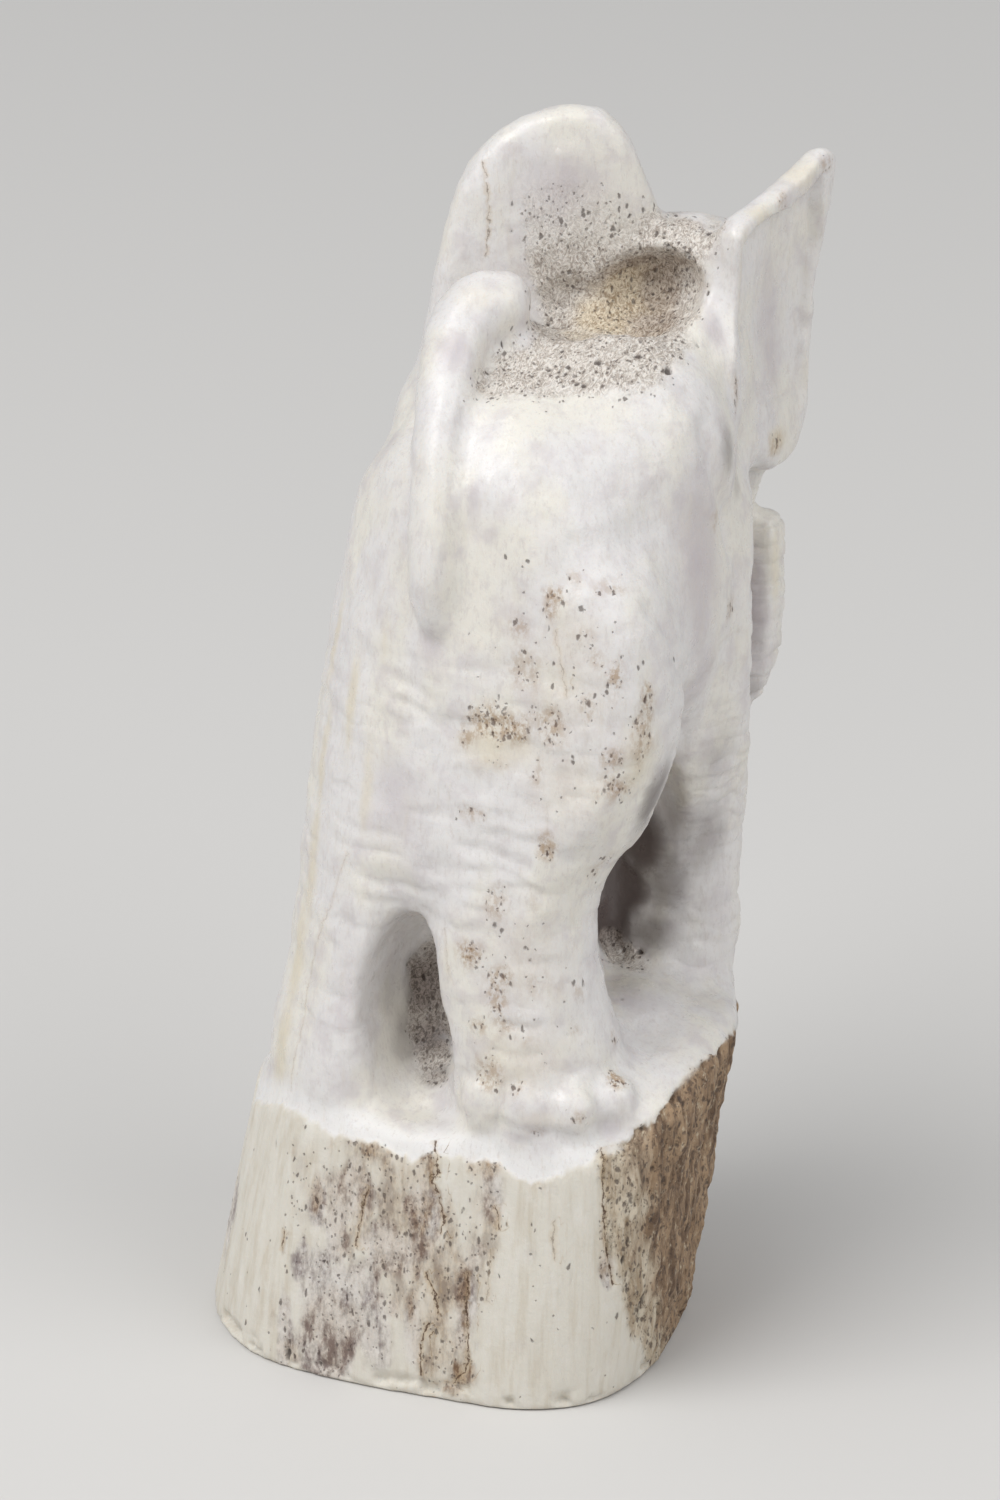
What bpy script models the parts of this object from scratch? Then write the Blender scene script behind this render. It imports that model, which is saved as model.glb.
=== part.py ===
"""Elephant carved from one length of antler, standing on the uncut lower end of that length.

The elephant heads along +Y, its right side is +X, and the underside of the base lies on z = 0.
"""

import math

import bmesh
import bpy
from mathutils import Matrix, Vector

# Driving dimensions, in millimetres.
HEIGHT = 95.0
BASE_HEIGHT = 21.0

# The figure is laid out on a grid of 74 parts to its own height. Every size below is in those parts:
# x to the elephant's right, y ahead, z above the top of the base.
METRE = 1000.0
PART = (HEIGHT - BASE_HEIGHT) / 74 / METRE
BASE_TOP = BASE_HEIGHT / METRE

# The antler leans over to the elephant's right and slightly ahead.
LEAN_TOWARD = math.radians(25)
LEAN_AT_BASE_TOP = 3.65
LEAN_SLOPE = 0.019
LEAN_BEND = 0.00132

# Cross-section of the uncut antler, going round from the right side, with a blunt corner behind.
SECTION = (
    (18.5, 0.0),
    (16.4, 8.2),
    (11.0, 15.6),
    (2.0, 19.4),
    (-8.0, 17.8),
    (-15.0, 11.0),
    (-17.8, 1.5),
    (-16.8, -7.8),
    (-10.5, -14.8),
    (-2.5, -16.6),
    (6.5, -16.2),
    (12.8, -15.4),
    (17.4, -12.0),
    (19.0, -6.0),
)
SECTION_STEPS = 6
# Shares of the cross-section that the carving keeps, as (height, share, shift to the leaning side).
OUTER_SKIN = (
    (-24, 0.97, 0.0),
    (0, 0.97, 0.1),
    (4, 0.975, 0.6),
    (9, 0.955, 1.4),
    (20, 0.935, 1.6),
    (31, 0.88, 1.1),
    (41, 0.84, 1.0),
    (50, 0.79, 0.7),
    (66, 0.72, 0.6),
)

# Belly, rump, hips and shoulders.
MIDLINE = -1.6
LEFT_INSET = 1.2
BELLY_CENTRE = (MIDLINE + 1.6, 2.0, 37)
BELLY_RADII = (14.4, 16.0, 17.0)
RUMP_CENTRE = (MIDLINE, -5.0, 37)
RUMP_RADII = (13.2, 11.0, 19.0)
WITHERS_CENTRE = (2.2, 2.5, 47)
WITHERS_RADII = (11.0, 10.5, 12.0)
SEAT_CENTRE = (MIDLINE, -9.5, 25)
SEAT_RADII = (8.0, 5.6, 11.5)
EAR_SEAT_CENTRE = (-5.4, 1.2, 50)
EAR_SEAT_RADII = (7.8, 8.6, 9.0)
HIP_SPREAD = 9.2
HIP_Y = -7.2
HIP_Z = 32
HIP_RADII = (7.8, 9.0, 14.0)
SHOULDER_SPREAD = 9.4
SHOULDER_Y = 10.0
SHOULDER_Z = 32
SHOULDER_RADII = (7.6, 8.5, 16.5)

# Legs as (x, y, radius) at the thigh, the knee and the foot. The knee is the narrowest place and the
# foot flares out on the base.
THIGH_Z = 27
KNEE_Z = 16.5
FOOT_Z = 1.2
RIGHT_HIND_LEG = ((6.4, -8.3, 6.8), (4.9, -9.2, 6.3), (7.7, -8.5, 6.8))
LEFT_HIND_LEG = ((-9.0, -8.3, 6.6), (-8.8, -9.4, 6.4), (-8.8, -9.2, 6.6))
RIGHT_FORE_LEG = ((9.0, 10.5, 6.6), (9.0, 12.4, 5.2), (9.4, 12.4, 5.9))
LEFT_FORE_LEG = ((-11.4, 10.5, 6.6), (-11.4, 12.4, 5.1), (-12.1, 12.4, 5.7))
LEGS = (RIGHT_HIND_LEG, LEFT_HIND_LEG, RIGHT_FORE_LEG, LEFT_FORE_LEG)

# Toenails round the outer side of three feet; the left hind foot is worn flat. The number beside
# each leg is the way its nails face, anticlockwise from the right side seen from above.
NAILED_LEGS = (
    (RIGHT_HIND_LEG, math.radians(-62)),
    (RIGHT_FORE_LEG, math.radians(55)),
    (LEFT_FORE_LEG, math.radians(125)),
)
TOENAILS = 4
TOENAIL_STEP = math.radians(32)
TOENAIL_RADII = (1.9, 1.9, 2.3)
TOENAIL_REACH = 0.97
TOENAIL_Z = 2.7

# Core of the antler left standing between the four legs, with an arch cut into it from behind and
# a deep hollow from each side.
CORE_CENTRE = (MIDLINE, 0.5, 12)
CORE_RADII = (8.4, 10.4, 30)
CORE_FOOT_CENTRE = (MIDLINE, 0.5, 0)
CORE_FOOT_RADII = (12.0, 12.0, 6.0)
FLOOR_RISE_CENTRE = (15.6, 1.5, 0.0)
FLOOR_RISE_RADII = (4.3, 13.0, 5.2)
FLOOR_SLOPE_CENTRE = (8.6, 2.0, -2.2)
FLOOR_SLOPE_RADII = (9.6, 10.5, 9.4)
ARCH_CENTRE = (-2.0, -15.0, 8.4)
ARCH_RADII = (3.2, 9.0, 8.5)
ARCH_FOOT_CENTRE = (-0.8, -15.0, 5.4)
ARCH_FOOT_RADII = (3.3, 8.5, 4.9)
SIDE_HOLLOW_REACH = 9.8
SIDE_HOLLOW_Y = 1.6
SIDE_HOLLOW_Z = 16.4
SIDE_HOLLOW_RADII = (6.6, 6.2, 10.0)

# Neck as two (x, y, z, radius) stations. The head is turned to the right; the brow and the muzzle are
# placed by (ahead of, above) the middle of the skull.
NECK = ((MIDLINE + 1.5, -3.0, 44.5, 10.5), (2.6, 9.0, 52.0, 9.0))
HEAD_TURN = math.radians(35)
SKULL_CENTRE = (2.6, 11.4, 54.5)
SKULL_RADII = (7.2, 8.0, 10.2)
BROW_PLACE = (3.5, 1.5)
BROW_RADII = (5.8, 4.8, 7.6)
MUZZLE_PLACE = (5.2, -6.0)
MUZZLE_RADII = (4.9, 4.4, 7.0)

# Hollow scooped into the back behind the head, running out towards the tail.
SCOOP_CENTRE = (3.1, 5.4, 60.0)
SCOOP_RADII = (4.3, 5.2, 3.2)
SCOOP_TAIL_CENTRE = (-1.0, 2.6, 59.2)
SCOOP_TAIL_RADII = (4.2, 3.8, 2.2)

# Ears as (bottom, top) places from one edge to the other. The left ear is spread out across the back,
# the right ear is folded back along the side.
EAR_ROWS = 12
LEFT_EAR = (
    ((0.6, 11.2, 50), (0.1, 11.2, 65.4)),
    ((-1.0, 10.0, 49), (-1.4, 9.9, 68.6)),
    ((-2.6, 9.0, 49), (-2.8, 8.8, 71.6)),
    ((-4.6, 7.8, 49), (-4.8, 7.7, 73.6)),
    ((-7.2, 6.3, 49), (-7.2, 6.2, 73.8)),
    ((-9.6, 4.9, 49), (-9.4, 4.9, 73.1)),
    ((-11.6, 3.8, 49), (-11.2, 3.8, 71.6)),
    ((-12.8, 3.1, 49), (-12.5, 3.1, 69.4)),
    ((-13.5, 2.6, 50), (-13.1, 2.7, 66.0)),
)
LEFT_EAR_THICKNESS = 3.0
LEFT_EAR_CUP = -0.6
RIGHT_EAR = (
    ((11.2, 8.9, 49.6), (8.6, 7.9, 65.4)),
    ((12.0, 12.0, 46.4), (9.1, 11.0, 66.0)),
    ((12.4, 15.6, 44.2), (9.6, 14.6, 66.8)),
    ((12.4, 18.8, 43.9), (10.2, 18.0, 67.9)),
    ((12.1, 20.6, 44.8), (10.5, 20.0, 68.7)),
    ((12.0, 21.8, 47.4), (10.7, 21.4, 67.6)),
)
RIGHT_EAR_THICKNESS = 2.6
RIGHT_EAR_CUP = -0.9

# Trunk hanging from the face with its end curled up to the right, a thin web left in the curl, a short
# tusk on each side and the tail laid up over the rump, as (x, y, z, radius) stations.
TRUNK = (
    (6.0, 16.2, 50.0, 4.2),
    (6.2, 16.9, 44.0, 3.2),
    (6.6, 17.5, 35.0, 2.9),
    (7.4, 17.8, 29.0, 2.7),
    (9.2, 18.0, 25.2, 2.5),
    (10.9, 18.3, 27.5, 2.2),
    (11.2, 18.5, 33.0, 2.0),
    (10.8, 18.5, 38.3, 1.8),
)
TRUNK_WEB_CENTRE = (9.3, 18.0, 31.5)
TRUNK_WEB_RADII = (2.2, 1.3, 6.5)
RIGHT_TUSK = ((7.8, 16.0, 39.4, 1.8), (8.8, 17.4, 41.2, 1.4), (9.3, 18.2, 44.4, 1.0))
LEFT_TUSK = ((2.8, 17.4, 39.4, 1.8), (2.4, 19.2, 41.2, 1.4), (2.6, 20.2, 44.4, 1.0))
TAIL = (
    (-2.2, -12.9, 39.4, 1.3),
    (-2.7, -13.0, 43.0, 2.0),
    (-3.5, -12.5, 47.0, 2.1),
    (-4.4, -11.3, 50.5, 2.1),
    (-5.4, -9.7, 53.4, 2.1),
    (-6.5, -7.4, 56.2, 2.3),
    (-7.4, -4.4, 58.6, 2.6),
    (-7.1, -2.6, 59.8, 3.0),
    (-5.9, -1.6, 59.9, 2.8),
)

# The uncut antler under the feet, as (height over the base's own height, share, shift).
BASE_SKIN = (
    (-0.15, 1.0, 0.0),
    (0.0, 1.0, 0.0),
    (0.3, 1.0, 0.0),
    (0.93, 0.972, -0.1),
    (1.0, 0.958, 0.3),
)

# Fineness of the skin.
VOXEL = 0.62
SOFTENING = 0.5
FACES = 9000
CREASE = math.radians(50)


def spot(x, y, z):
    """A place on the figure's grid, in metres, before the antler leans."""
    return Vector((x * PART, y * PART, BASE_TOP + z * PART))


def new_object(name, mesh):
    thing = bpy.data.objects.new(name, mesh)
    bpy.context.scene.collection.objects.link(thing)
    return thing


def mass(name, centre, radii, turn=0.0):
    """An egg-shaped mass, turned clockwise seen from above."""
    mesh = bpy.data.meshes.new(name)
    bm = bmesh.new()
    bmesh.ops.create_icosphere(bm, subdivisions=4, radius=1.0)
    size = Matrix.Diagonal((radii[0] * PART, radii[1] * PART, radii[2] * PART, 1))
    place = Matrix.Translation(spot(*centre)) @ Matrix.Rotation(-turn, 4, "Z")
    bmesh.ops.transform(bm, matrix=place @ size, verts=bm.verts)
    bm.to_mesh(mesh)
    bm.free()
    return new_object(name, mesh)


def limb(name, stations):
    """A round limb through (x, y, z, radius) stations, closed with a ball at each end."""
    curve = bpy.data.curves.new(name, "CURVE")
    curve.dimensions = "3D"
    curve.bevel_depth = PART
    curve.bevel_resolution = 6
    curve.resolution_u = 8
    curve.use_fill_caps = True
    path = curve.splines.new("BEZIER")
    path.bezier_points.add(len(stations) - 1)
    for point, (x, y, z, radius) in zip(path.bezier_points, stations):
        point.co = spot(x, y, z)
        point.radius = radius
        point.handle_left_type = "AUTO"
        point.handle_right_type = "AUTO"
    thing = new_object(name, curve)
    bpy.context.view_layer.update()
    mesh = bpy.data.meshes.new_from_object(thing.evaluated_get(bpy.context.evaluated_depsgraph_get()))
    bpy.data.objects.remove(thing)
    bm = bmesh.new()
    bm.from_mesh(mesh)
    bmesh.ops.remove_doubles(bm, verts=bm.verts, dist=PART * 0.001)
    for x, y, z, radius in (stations[0], stations[-1]):
        place = Matrix.Translation(spot(x, y, z)) @ Matrix.Scale(radius * PART, 4)
        bmesh.ops.create_icosphere(bm, subdivisions=3, radius=1.0, matrix=place)
    bm.to_mesh(mesh)
    bm.free()
    return new_object(name, mesh)


def flap(name, strips, thickness, cup):
    """An ear: strips of (bottom, top) places from one edge to the other, given a thickness."""
    rows = EAR_ROWS
    ahead = spot(*strips[-1][0]) - spot(*strips[0][0])
    upward = spot(*strips[0][1]) - spot(*strips[0][0])
    across = ahead.cross(upward).normalized()
    bm = bmesh.new()
    sides = []
    for side in (0, 1):
        grid = []
        for s, (low, high) in enumerate(strips):
            low_at = spot(*low)
            high_at = spot(*high)
            column = []
            for r in range(rows + 1):
                share = r / rows
                hollow = cup * math.sin(math.pi * share) * math.sin(math.pi * s / (len(strips) - 1))
                shift = across * ((hollow - thickness * side) * PART)
                column.append(bm.verts.new(low_at.lerp(high_at, share) + shift))
            grid.append(column)
        sides.append(grid)
    last = len(strips) - 1
    for s in range(last):
        for r in range(rows):
            for grid in sides:
                bm.faces.new((grid[s][r], grid[s + 1][r], grid[s + 1][r + 1], grid[s][r + 1]))
        for r in (0, rows):
            bm.faces.new((sides[0][s][r], sides[0][s + 1][r], sides[1][s + 1][r], sides[1][s][r]))
    for r in range(rows):
        for s in (0, last):
            bm.faces.new((sides[0][s][r], sides[0][s][r + 1], sides[1][s][r + 1], sides[1][s][r]))
    bmesh.ops.recalc_face_normals(bm, faces=bm.faces)
    mesh = bpy.data.meshes.new(name)
    bm.to_mesh(mesh)
    bm.free()
    return new_object(name, mesh)


def section():
    """The cross-section as a closed smooth line."""
    line = []
    count = len(SECTION)
    for k in range(count):
        before, start, end, after = (Vector(SECTION[(k + n) % count]) for n in (-1, 0, 1, 2))
        for n in range(SECTION_STEPS):
            t = n / SECTION_STEPS
            bend = (2 * before - 5 * start + 4 * end - after) * t * t + (3 * start - before - 3 * end + after) * t**3
            line.append(start + ((end - before) * t + bend) / 2)
    return line


def column(name, levels):
    """The antler's cross-section drawn up through (height in metres, share, shift) levels."""
    line = section()
    bm = bmesh.new()
    rings = []
    for z, share, shift in levels:
        aside = Vector((math.cos(LEAN_TOWARD), math.sin(LEAN_TOWARD))) * shift
        places = [point * share + aside for point in line]
        rings.append([bm.verts.new((place.x * PART, place.y * PART, z)) for place in places])
    count = len(line)
    for lower, upper in zip(rings, rings[1:]):
        for k in range(count):
            n = (k + 1) % count
            bm.faces.new((lower[k], lower[n], upper[n], upper[k]))
    bm.faces.new(rings[0][::-1])
    bm.faces.new(rings[-1])
    mesh = bpy.data.meshes.new(name)
    bm.to_mesh(mesh)
    bm.free()
    return new_object(name, mesh)


def base():
    """The uncut antler, from below the floor up to just under the feet."""
    return column("base", [(height * BASE_TOP, share, shift) for height, share, shift in BASE_SKIN])


def body():
    """Belly, rump, hips and shoulders."""
    pieces = [
        mass("belly", BELLY_CENTRE, BELLY_RADII),
        mass("rump", RUMP_CENTRE, RUMP_RADII),
        mass("withers", WITHERS_CENTRE, WITHERS_RADII),
        mass("seat", SEAT_CENTRE, SEAT_RADII),
        mass("ear_seat", EAR_SEAT_CENTRE, EAR_SEAT_RADII),
    ]
    for side, inset in ((-1, LEFT_INSET), (1, 0.0)):
        hip = (MIDLINE + inset + side * HIP_SPREAD, HIP_Y, HIP_Z)
        shoulder = (MIDLINE + inset + side * SHOULDER_SPREAD, SHOULDER_Y, SHOULDER_Z)
        pieces.append(mass("hip", hip, HIP_RADII))
        pieces.append(mass("shoulder", shoulder, SHOULDER_RADII))
    return pieces


def legs():
    """Four legs, the core of the antler between them and the rising floor beside the right ones."""
    pieces = []
    for thigh, knee, foot in LEGS:
        stations = []
        for (x, y, radius), z in ((thigh, THIGH_Z), (knee, KNEE_Z), (foot, FOOT_Z)):
            stations.append((x, y, z, radius))
        pieces.append(limb("leg", stations))
    pieces.append(mass("core", CORE_CENTRE, CORE_RADII))
    pieces.append(mass("core_foot", CORE_FOOT_CENTRE, CORE_FOOT_RADII))
    pieces.append(mass("floor_rise", FLOOR_RISE_CENTRE, FLOOR_RISE_RADII))
    pieces.append(mass("floor_slope", FLOOR_SLOPE_CENTRE, FLOOR_SLOPE_RADII))
    return pieces


def head():
    """Neck, skull, brow and muzzle, the head turned to the right."""
    pieces = [limb("neck", NECK), mass("skull", SKULL_CENTRE, SKULL_RADII, HEAD_TURN)]
    facing = Vector((math.sin(HEAD_TURN), math.cos(HEAD_TURN), 0))
    for name, (ahead, above), radii in (
        ("brow", BROW_PLACE, BROW_RADII),
        ("muzzle", MUZZLE_PLACE, MUZZLE_RADII),
    ):
        centre = Vector(SKULL_CENTRE) + facing * ahead + Vector((0, 0, above))
        pieces.append(mass(name, centre, radii, HEAD_TURN))
    return pieces


def ears():
    return [
        flap("left_ear", LEFT_EAR, LEFT_EAR_THICKNESS, LEFT_EAR_CUP),
        flap("right_ear", RIGHT_EAR, RIGHT_EAR_THICKNESS, RIGHT_EAR_CUP),
    ]


def trunk_tusks_and_tail():
    return [
        limb("trunk", TRUNK),
        mass("trunk_web", TRUNK_WEB_CENTRE, TRUNK_WEB_RADII),
        limb("right_tusk", RIGHT_TUSK),
        limb("left_tusk", LEFT_TUSK),
        limb("tail", TAIL),
    ]


def toenails():
    """A row of nails round the outer side of each nailed foot."""
    pieces = []
    for (_, _, (foot_x, foot_y, radius)), outward in NAILED_LEGS:
        for n in range(TOENAILS):
            turn = outward + (n - (TOENAILS - 1) / 2) * TOENAIL_STEP
            x = foot_x + math.cos(turn) * radius * TOENAIL_REACH
            y = foot_y + math.sin(turn) * radius * TOENAIL_REACH
            pieces.append(mass("toenail", (x, y, TOENAIL_Z), TOENAIL_RADII))
    return pieces


def join(name, pieces):
    """Put the faces of several pieces into one object."""
    bm = bmesh.new()
    for piece in pieces:
        bm.from_mesh(piece.data)
        bpy.data.objects.remove(piece)
    mesh = bpy.data.meshes.new(name)
    bm.to_mesh(mesh)
    bm.free()
    return new_object(name, mesh)


def fuse(name, pieces, repeats):
    """Give overlapping closed pieces one common skin and soften it."""
    thing = join(name, pieces)
    skin = thing.modifiers.new("skin", "REMESH")
    skin.mode = "VOXEL"
    skin.voxel_size = VOXEL * PART
    skin.adaptivity = 0.0
    soft = thing.modifiers.new("soft", "SMOOTH")
    soft.factor = SOFTENING
    soft.iterations = repeats
    return settle(thing)


def settle(thing):
    """Replace an object's mesh by what its modifiers make of it."""
    bpy.context.view_layer.update()
    graph = bpy.context.evaluated_depsgraph_get()
    mesh = bpy.data.meshes.new_from_object(thing.evaluated_get(graph))
    thing.modifiers.clear()
    thing.data = mesh
    return thing


def lean(thing):
    """Shift each level of the antler sideways by the lean at that level."""
    for vertex in thing.data.vertices:
        z = (vertex.co.z - BASE_TOP) / PART
        if z > 0:
            reach = LEAN_AT_BASE_TOP + LEAN_SLOPE * z + LEAN_BEND * z * z
        else:
            reach = LEAN_AT_BASE_TOP * (1 + z * PART / BASE_TOP)
        vertex.co.x += reach * PART * math.cos(LEAN_TOWARD)
        vertex.co.y += reach * PART * math.sin(LEAN_TOWARD)


def thin_out(thing, faces):
    """Merge the skin's small faces until about this many triangles are left."""
    fewer = thing.modifiers.new("fewer", "DECIMATE")
    fewer.ratio = faces / sum(len(face.vertices) - 2 for face in thing.data.polygons)
    return settle(thing)


def cut_flat(thing):
    """Saw the underside flat at z = 0."""
    bm = bmesh.new()
    bm.from_mesh(thing.data)
    geometry = bm.verts[:] + bm.edges[:] + bm.faces[:]
    bmesh.ops.bisect_plane(
        bm, geom=geometry, dist=PART * 0.01, plane_co=(0, 0, 0), plane_no=(0, 0, 1), clear_inner=True
    )
    rim = [edge for edge in bm.edges if edge.is_boundary]
    bmesh.ops.triangle_fill(bm, use_beauty=True, use_dissolve=False, edges=rim)
    bmesh.ops.recalc_face_normals(bm, faces=bm.faces)
    bmesh.ops.triangulate(bm, faces=bm.faces)
    bm.to_mesh(thing.data)
    bm.free()


def antler():
    """Polished antler: warm white with a satin shine."""
    material = bpy.data.materials.new("antler")
    material.use_nodes = True
    shader = material.node_tree.nodes["Principled BSDF"]
    shader.inputs["Base Color"].default_value = (0.74, 0.69, 0.62, 1)
    shader.inputs["Roughness"].default_value = 0.38
    return material


def trim(thing, tool, operation):
    """Keep only what lies inside the tool, or cut the tool's shape out."""
    cut = thing.modifiers.new(operation.lower(), "BOOLEAN")
    cut.operation = operation
    cut.solver = "EXACT"
    cut.object = tool
    settle(thing)
    bpy.data.objects.remove(tool)
    return thing


def hollows():
    """Arch under the rump, scoop behind the head and a hollow in each side between the legs."""
    pieces = [
        mass("arch", ARCH_CENTRE, ARCH_RADII),
        mass("arch_foot", ARCH_FOOT_CENTRE, ARCH_FOOT_RADII),
        mass("scoop", SCOOP_CENTRE, SCOOP_RADII),
        mass("scoop_tail", SCOOP_TAIL_CENTRE, SCOOP_TAIL_RADII),
    ]
    for side in (-1, 1):
        centre = (MIDLINE + side * SIDE_HOLLOW_REACH, SIDE_HOLLOW_Y, SIDE_HOLLOW_Z)
        pieces.append(mass("side_hollow", centre, SIDE_HOLLOW_RADII))
    return pieces


def carving():
    """The whole elephant on its base, as one closed skin."""
    soft = fuse("soft", [*body(), *legs()], 10)
    figure = fuse("figure", [soft, *toenails()], 1)
    skin = column("skin", [(BASE_TOP + z * PART, share, shift) for z, share, shift in OUTER_SKIN])
    trim(figure, skin, "INTERSECT")
    masses = fuse("masses", [figure, base(), *head(), *ears()], 3)
    trim(masses, fuse("hollows", hollows(), 1), "DIFFERENCE")
    thing = fuse("antler_carving", [masses, *trunk_tusks_and_tail()], 2)
    lean(thing)
    thin_out(thing, FACES)
    cut_flat(thing)
    thing.data.materials.clear()
    thing.data.materials.append(antler())
    for face in thing.data.polygons:
        face.use_smooth = True
    thing.data.set_sharp_from_angle(angle=CREASE)
    return thing


for old in list(bpy.data.objects):
    bpy.data.objects.remove(old, do_unlink=True)
carving()
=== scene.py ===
"""Looks of a small elephant carved from one length of antler, standing on its uncut antler base.

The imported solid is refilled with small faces, and the fine relief is pushed into them: bark, spongy core,
pits, cracks, skin folds, trunk rings and toenails. Marks on the same points tell the material where each
finish goes. Lengths are millimetres unless a name says otherwise. Picture points are pixels of the
1000 x 1500 photograph, and each is put on the surface by a line of sight from the photograph's camera.
A patch is a picture point, half a width, half a height and a strength from 0 to 1.
"""
import itertools
import math
from types import SimpleNamespace

import bpy
import numpy as np
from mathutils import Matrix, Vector
from mathutils.bvhtree import BVHTree


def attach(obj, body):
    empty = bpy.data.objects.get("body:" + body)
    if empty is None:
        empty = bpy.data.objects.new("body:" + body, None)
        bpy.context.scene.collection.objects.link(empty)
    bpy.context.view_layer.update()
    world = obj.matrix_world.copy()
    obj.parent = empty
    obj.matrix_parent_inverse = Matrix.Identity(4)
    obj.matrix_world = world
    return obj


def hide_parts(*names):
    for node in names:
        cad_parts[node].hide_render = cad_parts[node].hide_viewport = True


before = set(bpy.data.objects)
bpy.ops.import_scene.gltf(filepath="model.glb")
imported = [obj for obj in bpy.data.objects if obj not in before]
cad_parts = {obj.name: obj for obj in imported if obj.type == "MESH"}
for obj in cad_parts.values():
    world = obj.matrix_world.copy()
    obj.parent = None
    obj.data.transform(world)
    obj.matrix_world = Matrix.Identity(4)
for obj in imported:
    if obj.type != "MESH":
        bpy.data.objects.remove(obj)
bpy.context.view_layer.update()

NODE = "antler_carving"
METRE = 1000.0

# The photograph's camera.
PICTURE_WIDTH = 1000
PICTURE_HEIGHT = 1500
CAMERA_AZIMUTH = math.radians(25)
CAMERA_ELEVATION = math.radians(22)
CAMERA_DISTANCE = 600.0
CAMERA_TARGET = Vector((3.4, 1.6, 46.0))
PIXEL = 0.0755
SENSOR = 36.0

# The antler's own axis, which leans over to the right; heights are from the floor.
BASE_TOP = 21.0
LEAN_TOWARD = math.radians(25)
LEAN_AT_BASE_TOP = 3.65
LEAN_SLOPE = 0.019
LEAN_BEND = 0.00132

# The fine skin.
SKIN_VOXEL = 0.22
SKIN_FACES = 196000
SMOOTHING = 30

# The gap that is taken where nothing is near, in millimetres or in steps of a pattern.
FAR = 9.0

# The lights, as azimuth and elevation in degrees, distance and size in metres, and power; the pale
# surround; and half the floor's side in metres.
KEY_LIGHT = (-28, 52, 0.9, 0.7, 6.3)
FILL_LIGHT = (78, 38, 1.1, 0.9, 4.7)
SURROUND_TINT = (0.95, 0.97, 1.0, 1)
SURROUND = 0.46
FLOOR_HALF = 3.0

# Colours, as red, green and blue on a screen; where there are two, a pattern runs from the first to
# the second.
FLOOR_GREY = (205, 203, 200)
WHITE = ((218, 215, 213), (221, 217, 208))
CLOUD_GREY = (198, 191, 192)
SMUDGE_GREY = (198, 192, 190)
SCRATCH_GREY = (194, 187, 182)
GRAIN_TAN = (204, 195, 182)
# Cool tone that is partly painted shade on the sides away from the light and in the hollows.
LILAC_SHADE_GREY = (188, 180, 183)
CREAM_WHITE = (212, 201, 176)
CHALK_WHITE = (224, 222, 220)
BARK_CREAM = ((212, 207, 196), (200, 192, 177))
BARK_PALE = (220, 216, 208)
WORN_GREY = ((126, 114, 112), (206, 199, 195))
BARK_TAN = ((112, 86, 64), (184, 160, 130))
ROUGH_BEIGE = ((160, 141, 117), (208, 197, 178))
ROUGH_BROWN = ((98, 76, 58), (164, 138, 110))
ROUGH_DARK = (66, 49, 38)
ROUGH_PALE = (204, 190, 166)
CORE_PALE = ((158, 147, 137), (222, 216, 208))
CORE_OCHRE = ((156, 134, 104), (222, 208, 182))
CORE_UMBER = ((120, 104, 90), (192, 179, 166))
# Painted shade for the hollows: the first on the spongy core, the second on the polished antler.
CORE_PAINTED_SHADE = ((62, 52, 47), (146, 132, 124))
PAINTED_SHADE_BROWN = (80, 67, 63)
STAIN_TAN = (158, 130, 98)
PIT_SHADES = ((70, 58, 52), (84, 52, 34))
CRACK_GLOW = (186, 160, 122)
CRACK_DARK = (78, 54, 36)

# Upper edge of the uncut antler on the side that shows, as picture points from left to right, and on
# the hidden side as (angle round the axis in degrees, height).
BARK_EDGE = (
    (200, 1102), (262, 1102), (290, 1106), (310, 1122), (335, 1134), (365, 1139), (385, 1147),
    (410, 1160), (430, 1155), (455, 1154), (470, 1162), (495, 1160), (515, 1179), (540, 1182),
    (565, 1171), (590, 1160), (602, 1147), (630, 1141), (635, 1126), (655, 1120), (663, 1104),
    (674, 1093), (680, 1077), (692, 1064), (710, 1057), (722, 1044), (734, 1030), (760, 1030),
)
HIDDEN_BARK_EDGE = (
    (-180, 20.6), (-150, 21.2), (0, 25.2), (28, 24.8), (48, 22.6), (75, 20.6), (120, 20.0),
    (180, 20.6),
)
# Left edge of the rough brown side, as pixels down and across the picture; it ends on the hidden side,
# between these angles.
ROUGH_EDGE = (
    (1030, 596), (1146, 599), (1170, 601), (1200, 602), (1240, 605), (1262, 609), (1300, 620),
    (1320, 627), (1345, 639), (1375, 648), (1410, 653),
)
ROUGH_ENDS = (-60, 84)

# Spongy core of the antler where the back is cut open, as picture points round its edge.
CORE_OUTLINE = (
    (506, 170), (540, 158), (580, 160), (612, 172), (640, 192), (665, 205), (700, 212),
    (730, 220), (722, 250), (709, 290), (702, 330), (690, 365), (665, 394), (620, 404),
    (560, 405), (500, 402), (466, 398), (466, 374), (488, 352), (520, 335), (532, 305),
    (514, 262), (506, 230), (500, 200),
)
# How spongy the back is, by pixels down the picture.
CORE_STRENGTH = ((150, 0.14), (200, 0.34), (240, 0.52), (275, 1.0))
# Radius of the spongy core round the axis between the legs, its top, and patches of it in the hollows.
LOW_CORE_RADIUS = 7.6
LOW_CORE_TOP = 54
LOW_CORE = (
    (420, 975, 1.3, 2.2, 1.0), (424, 1018, 1.7, 2.8, 1.0), (434, 1056, 1.7, 1.8, 0.9),
    (438, 1078, 1.8, 0.8, 0.6), (606, 940, 1.4, 1.1, 1.0), (620, 956, 1.7, 1.1, 0.9),
    (636, 966, 1.4, 0.8, 0.5),
)
# How ragged the edges of patches are: stains, the core in the hollows, and soft drifts of colour and painted
# shade.
RAGGED = 1.0
HALF_SOFT = 0.6
SOFT = 0.3

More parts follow.
